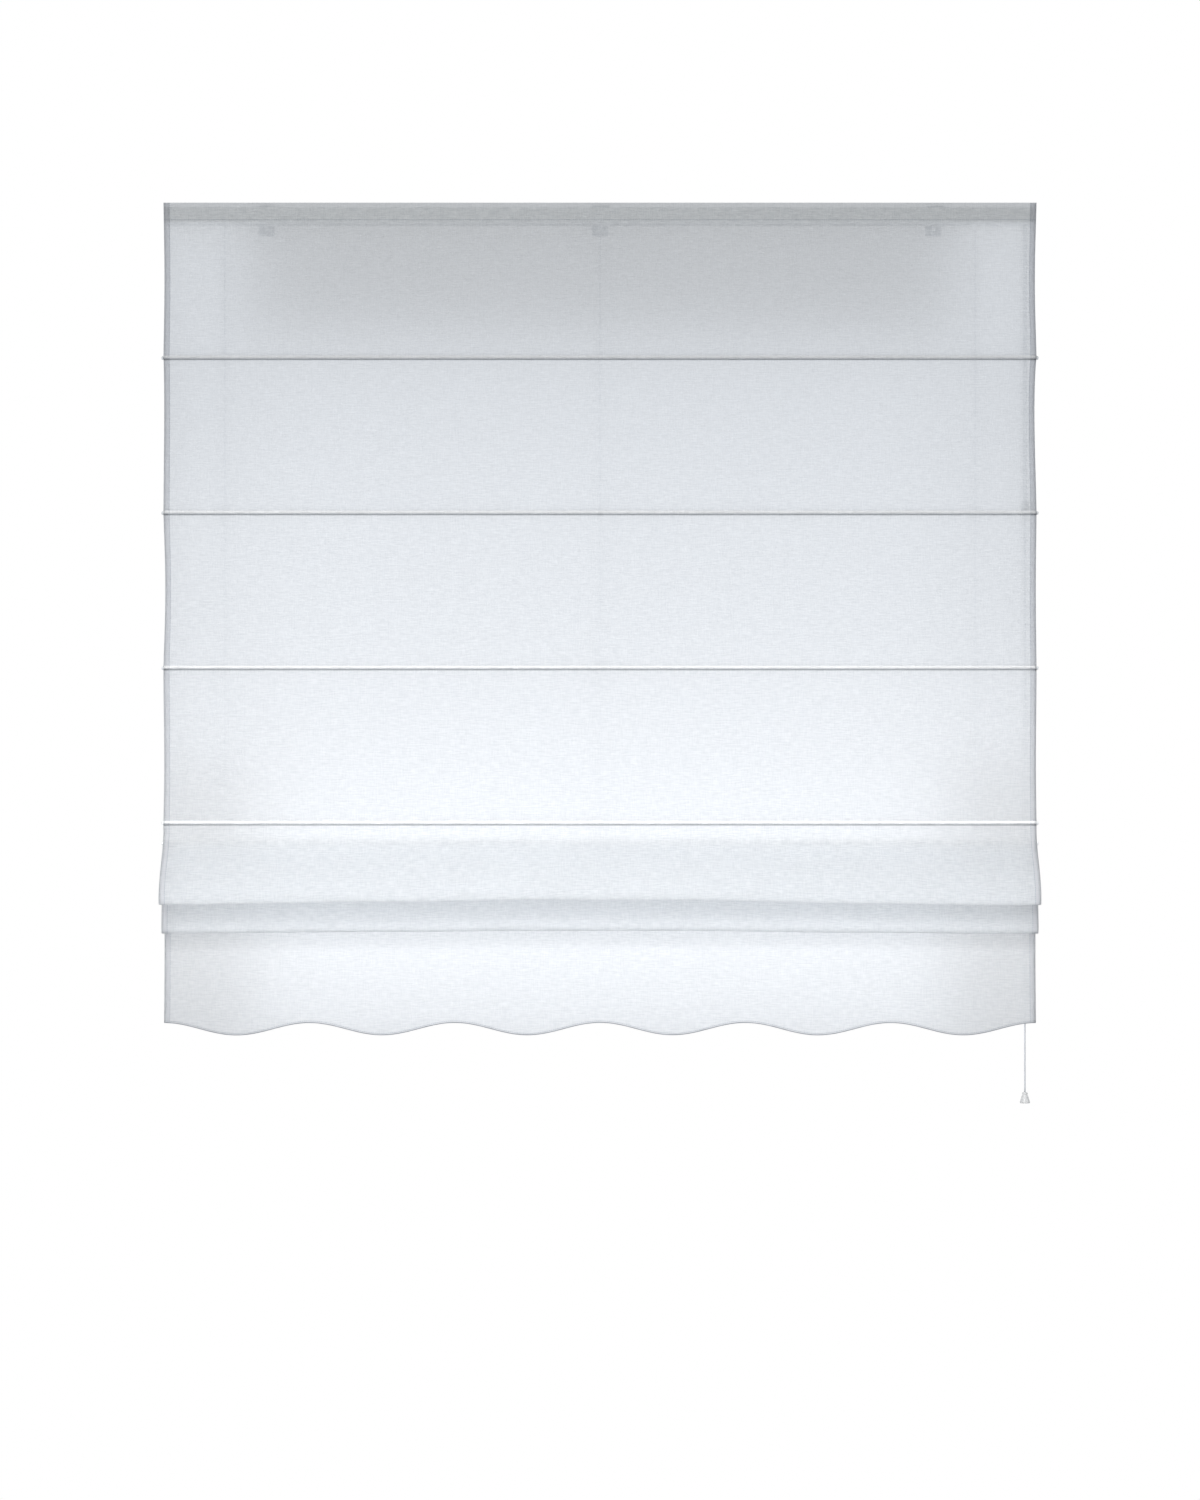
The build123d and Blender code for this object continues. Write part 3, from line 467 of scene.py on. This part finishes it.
def makeCloth(name, rows, hemEnd, body, node):
    columns = [-cloth["width"] / 2 - cloth["sideHem"], -cloth["width"] / 2 - cloth["sideHem"] / 2,
               -cloth["width"] / 2 - 0.4 * mm]
    inner = 232
    columns += [cloth["width"] * (n / inner - 0.5) for n in range(inner + 1)]
    columns += [-c for c in reversed(columns[:3])]
    bm = bmesh.new()
    bmesh.ops.create_grid(bm, x_segments=len(columns) - 1, y_segments=len(rows) - 1, size=0.5)
    layer = bm.loops.layers.uv.new("flat")
    hemLayer = bm.verts.layers.float.new("toHem")
    flat = {}
    for vert in bm.verts:
        u = columns[round((vert.co.x + 0.5) * (len(columns) - 1))]
        s = rows[round((0.5 - vert.co.y) * (len(rows) - 1))]
        inside = math.copysign(min(abs(u), cloth["width"] - abs(u)), u)
        start = hemEnd - cloth["hemPanel"] if hemEnd else 9
        cut = hemCut(inside)
        if s > start:
            s = start + (s - start) * (cloth["hemPanel"] - cut) / cloth["hemPanel"]
        vert[hemLayer] = hemEnd - cut - s if hemEnd else 0.2
        flat[vert] = (u, s)
        place = clothPoint(inside, s)
        if abs(u) > cloth["width"] / 2 + 1e-6:
            # turned hem, behind the cloth
            step = 1.0 * mm
            slope = (clothPoint(inside, s + step) - clothPoint(inside, s - step)).normalized()
            back = Vector((1, 0, 0)).cross(slope)
            place = place + back * cloth["hemGap"] * min(1, (abs(u) - cloth["width"] / 2) / (0.4 * mm))
        vert.co = place
    for face in bm.faces:
        for loop in face.loops:
            loop[layer].uv = flat[loop.vert]
    piece = newPiece(name, bm, materials["voile"], body)
    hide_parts(node)
    return piece


panelRows = rowsBetween([n * cloth["rodPitch"] for n in range(5)], 1.0 * mm, 11 * mm)
clothTop = makeCloth("clothTop", panelRows, None, "head", "cloth_upper")
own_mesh(clothTop)
hemEnd = 6 * cloth["rodPitch"] + cloth["hemPanel"]
foldRows = rowsBetween([n * cloth["rodPitch"] for n in (4, 4.5, 5, 5.5, 6)] + [hemEnd], 1.1 * mm, 6 * mm)
clothFolds = makeCloth("clothFolds", foldRows, hemEnd, "stack", "cloth_lower")
print("cloth made:", len(clothTop.data.polygons), "and", len(clothFolds.data.polygons), "faces")


# the rolled hem and the rod pockets

hems = {
    "rollRadius": 0.6 * mm,
    "rollBehind": 0.3 * mm,
    "pocketRadius": 2.6 * mm,
    "seamRise": 3.0 * mm,
}


def smoothLine(points, cyclic=False, steps=6):
    # the curve object of a route, and the points that its smooth line follows
    curve = bpy.data.curves.new("route", "CURVE")
    curve.dimensions = "3D"
    spline = curve.splines.new("NURBS")
    spline.points.add(len(points) - 1)
    for point, place in zip(spline.points, points):
        point.co = (*place, 1)
    spline.order_u = 3
    spline.use_cyclic_u = cyclic
    spline.use_endpoint_u = not cyclic
    spline.resolution_u = steps
    route = bpy.data.objects.new("route", curve)
    bpy.context.scene.collection.objects.link(route)
    bpy.context.view_layer.update()
    line = bpy.data.meshes.new_from_object(route.evaluated_get(bpy.context.evaluated_depsgraph_get()))
    path = [v.co.copy() for v in line.vertices]
    bpy.data.meshes.remove(line)
    return route, path


def makeTube(name, points, radius, material, body, cyclic=False, steps=6, roundness=3):
    route, path = smoothLine(points, cyclic, steps)
    route.data.bevel_depth = radius
    route.data.bevel_resolution = roundness
    route.data.use_fill_caps = not cyclic
    bpy.context.view_layer.update()
    mesh = bpy.data.meshes.new_from_object(route.evaluated_get(bpy.context.evaluated_depsgraph_get()))
    curve = route.data
    bpy.data.objects.remove(route)
    bpy.data.curves.remove(curve)
    bm = bmesh.new()
    bm.from_mesh(mesh)
    bpy.data.meshes.remove(mesh)
    bmesh.ops.remove_doubles(bm, verts=bm.verts, dist=1e-6)
    bmesh.ops.recalc_face_normals(bm, faces=bm.faces)
    piece = newPiece(name, bm, material, body)
    return piece, path


def hemPoint(u):
    return clothPoint(u, hemEnd - hemCut(u)) + Vector((0, hems["rollBehind"], 0.2 * mm))


halfWidth = cloth["width"] / 2 - 0.4 * mm
rolledHem = makeTube("rolledHem", [hemPoint(halfWidth * (n / 60 - 1)) for n in range(121)],
                     hems["rollRadius"], materials["roll"], "stack", steps=3, roundness=2)[0]


def makePocket(number, body):
    # a strip of cloth round the rod, sewn to the back of the cloth along both sides
    height = rodHeights[number - 1]
    turned = number > 4
    bm = bmesh.new()
    across, around = 130, 18
    bmesh.ops.create_grid(bm, x_segments=across, y_segments=around, size=0.5)
    layer = bm.loops.layers.uv.new("flat")
    flat = {}
    radius, rise = hems["pocketRadius"], hems["seamRise"]
    for vert in bm.verts:
        u = vert.co.x * (cloth["width"] - 6 * mm)
        t = 0.5 - vert.co.y
        wobble = 0.22 * mm * noise.noise(Vector((u * 60, t * 2, number * 3.7)))
        if t < 0.12 or t > 0.88:
            edge = (0.12 - t if t < 0.5 else t - 0.88) / 0.12
            away, along = -radius + 0.25 * mm, 0.62 * radius + edge * (rise - 0.62 * radius)
            along = along if t < 0.5 else -along
        else:
            turn = math.radians(142) * (1 - (t - 0.12) / 0.38)
            away = (radius + wobble) * math.cos(turn)
            along = (radius + wobble) * math.sin(turn)
        flat[vert] = (u, t * 17 * mm + 0.05)
        vert.co = (u, rodY + along, height + away) if turned else (u, rodY + away, height + along)
    for face in bm.faces:
        for loop in face.loops:
            loop[layer].uv = flat[loop.vert]
    return newPiece(f"pocket{number}", bm, materials["sleeve"], body)


pockets = [makePocket(n, f"rod_{n}_carrier" if n < 4 else "stack") for n in range(1, 7)]
print("hem and pockets made")


# lift cords: through the rail, down through the rings, knotted under the stops

cords = {
    "liftRadius": 0.6 * mm,
    "pullRadius": 1.1 * mm,
}
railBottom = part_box("head_rail")[0].z


def knot(name, place, size, radius, body):
    # an overhand knot, pulled tight
    points = []
    for n in range(18):
        turn = 2 * math.pi * n / 18
        points.append((place.x + size * (math.sin(turn) + 1.6 * math.sin(2 * turn)) * 0.55,
                       place.y + size * (math.cos(turn) - 1.6 * math.cos(2 * turn)) * 0.55,
                       place.z - size * 0.95 * math.sin(3 * turn)))
    return makeTube(name, points, radius, materials["cord"], body, cyclic=True, steps=3, roundness=2)[0]


def mergedCopy(node):
    bm = bmesh.new()
    bm.from_mesh(nodes[node].data)
    bmesh.ops.remove_doubles(bm, verts=bm.verts, dist=1e-6)
    return bm


def cutAt(bm, height, away):
    # drops what lies on the away side of the height, 1 for above and -1 for below
    bmesh.ops.bisect_plane(bm, geom=bm.verts[:] + bm.edges[:] + bm.faces[:],
                           plane_co=(0, 0, height), plane_no=(0, 0, away), clear_outer=True)


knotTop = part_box("cord_stops")[1].z - 2.4 * mm
for side in ("left", "middle", "right"):
    node = f"lift_cord_{side}"
    inRail = mergedCopy(node)
    cutAt(inRail, railBottom, -1)
    railPiece = newPiece("cordInRail" + side.title(), inRail, materials["cord"], "head")
    drop = mergedCopy(node)
    cutAt(drop, railBottom, 1)
    cutAt(drop, knotTop, -1)
    xs, ys = [v.co.x for v in drop.verts], [v.co.y for v in drop.verts]
    dropPlace = Vector(((min(xs) + max(xs)) / 2, (min(ys) + max(ys)) / 2, 0))
    dropPiece = newPiece("cordDrop" + side.title(), drop, materials["cord"], "head")
    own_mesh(dropPiece)
    knot("liftKnot" + side.title(), Vector((dropPlace.x, dropPlace.y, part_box(node)[0].z + 1.5 * mm)),
         0.62 * mm, cords["liftRadius"], "stack")
    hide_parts(node)
print("lift cords made")


# cord ends below the lock, the pull cord and its tassel

tails = {"top": railBottom, "foot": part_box("cord_tails")[0].z + 1.2 * mm, "spacing": 2.0 * mm}
pullX = (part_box("pull_cord")[0].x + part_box("pull_cord")[1].x) / 2
cordY = (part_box("pull_cord")[0].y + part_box("pull_cord")[1].y) / 2
for n, name in ((0, "tailMiddle"), (-1, "tailLeft"), (1, "tailRight")):
    x = pullX + n * tails["spacing"]
    points = [(x, cordY, tails["top"]), (x, cordY, (tails["top"] + tails["foot"]) / 2), (x, cordY, tails["foot"])]
    tail, path = makeTube(name, points, cords["liftRadius"], materials["cord"], None, steps=32)
    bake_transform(tail)
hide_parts("cord_tails")

pullTop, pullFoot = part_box("pull_cord")[1].z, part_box("pull_cord")[0].z
cordPoints = [(pullX, cordY, pullTop), (pullX, cordY, (pullTop + pullFoot) / 2), (pullX, cordY, pullFoot + 1.5 * mm)]
pullCord, pullPath = makeTube("pullCord", cordPoints, cords["pullRadius"], materials["cord"], "pull",
                              steps=32)
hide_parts("pull_cord")
upperKnot = knot("pullKnotUpper", Vector((pullX, cordY, pullTop - 1.2 * mm)), 0.8 * mm, 0.85 * mm,
                 "pull")
lowerKnot = knot("pullKnotLower", Vector((pullX, cordY, pullFoot + 1.6 * mm)), 0.8 * mm, 0.85 * mm,
                 "pull")

tasselForm = {
    # (radius, height above the foot) in mm: outside from the top hole down, then the bore back up
    "profile": [(1.5, 16.2), (2.6, 16.5), (3.7, 15.8), (4.1, 14.6), (3.9, 13.6), (3.6, 13.0), (4.1, 12.4), (4.7, 10.6),
                (5.4, 8.2), (6.3, 5.4), (7.1, 2.8), (7.5, 1.2), (7.45, 0.4), (7.1, 0.0), (6.4, 0.3), (6.0, 1.4),
                (5.0, 5.2), (3.8, 9.4), (2.7, 12.6), (1.7, 14.4), (1.5, 15.0), (1.5, 16.2)],
    "steps": 48,
}


def makeTassel():
    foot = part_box("tassel")[0].z
    bm = bmesh.new()
    points = [bm.verts.new((pullX + r * mm, cordY, foot + h * mm)) for r, h in tasselForm["profile"][:-1]]
    rim = [bm.edges.new((a, b)) for a, b in zip(points, points[1:] + points[:1])]
    bmesh.ops.spin(bm, geom=points + rim, cent=(pullX, cordY, foot), axis=(0, 0, 1), angle=2 * math.pi,
                   steps=tasselForm["steps"], use_merge=True)
    bmesh.ops.remove_doubles(bm, verts=bm.verts, dist=1e-6)
    bmesh.ops.recalc_face_normals(bm, faces=bm.faces)
    tassel = newPiece("bellTassel", bm, materials["tassel"], "pull")
    rounding = tassel.modifiers.new("rounding", "SUBSURF")
    rounding.levels = rounding.render_levels = 1
    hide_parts("tassel")
    return tassel


tassel = makeTassel()
print("pull cord and tassel made")


# floor and light

studio = {
    "floorDrop": 2.3,
    "front": 44.0,  # watts
    "top": 3.4,
    "low": 1.5,
    "window": 1.64,
    "sides": 0.17,
    "room": 0.52,
}


def makeFloor():
    bm = bmesh.new()
    bmesh.ops.create_grid(bm, x_segments=1, y_segments=1, size=0.5)
    bmesh.ops.scale(bm, verts=bm.verts, vec=(5.0, 3.4, 1))
    bmesh.ops.translate(bm, verts=bm.verts, vec=(0, -0.4, -studio["floorDrop"]))
    mesh = bpy.data.meshes.new("floor")
    bm.to_mesh(mesh)
    bm.free()
    floor = bpy.data.objects.new("floor", mesh)
    bpy.context.scene.collection.objects.link(floor)
    material, tree = newMaterial("matWhitePaint")
    shader = addNode(tree, "BsdfPrincipled", {"Base Color": hexColour("#EDEDED"), "Roughness": 0.9})
    addNode(tree, "OutputMaterial", {"Surface": shader.outputs[0]})
    mesh.materials.append(material)


def areaLight(name, place, aim, width, height, watts, colour="#FFFFFF", spread=180):
    light = bpy.data.lights.new(name, "AREA")
    light.shape = "RECTANGLE"
    light.size, light.size_y = width, height
    light.energy = watts
    light.color = hexColour(colour)[:3]
    light.spread = math.radians(spread)
    lamp = bpy.data.objects.new(name, light)
    lamp.location = place
    lamp.rotation_euler = (Vector(aim) - Vector(place)).to_track_quat("-Z", "Y").to_euler()
    lamp.visible_camera = False
    bpy.context.scene.collection.objects.link(lamp)


makeFloor()
areaLight("frontLight", (-0.6, -3.4, 0.6), (0, 0, -0.6), 2.6, 2.0, studio["front"])
areaLight("topLight", (-0.1, -0.95, -0.12), (0, -0.08, -1.02), 1.9, 0.25, studio["top"], spread=75)
areaLight("lowLight", (-0.15, -1.3, -1.1), (-0.04, -0.05, -1.02), 1.9, 0.2, studio["low"], spread=36)
areaLight("windowLight", (0, 0.04, -0.70), (0, 0, -0.70), 1.04, 1.06, studio["window"], "#F2F7FF")
for x in (-0.60, 0.60):
    areaLight("sideLight", (x, 0.04, -0.40), (x, 0, -0.40), 0.14, 0.84, studio["sides"], "#F2F7FF")
world = bpy.data.worlds.new("studio")
bpy.context.scene.world = world
world.use_nodes = True
world.node_tree.nodes.clear()
seenByCamera = addNode(world.node_tree, "LightPath").outputs["Is Camera Ray"]
dim = addNode(world.node_tree, "Background", {"Color": hexColour("#F1F5FA"), "Strength": studio["room"]})
white = addNode(world.node_tree, "Background", {"Color": hexColour("#FFFFFF"), "Strength": 1.0})
mixed = addNode(world.node_tree, "MixShader", {0: seenByCamera, 1: dim.outputs[0], 2: white.outputs[0]})
addNode(world.node_tree, "OutputWorld", {"Surface": mixed.outputs[0]})
print("floor and light set")
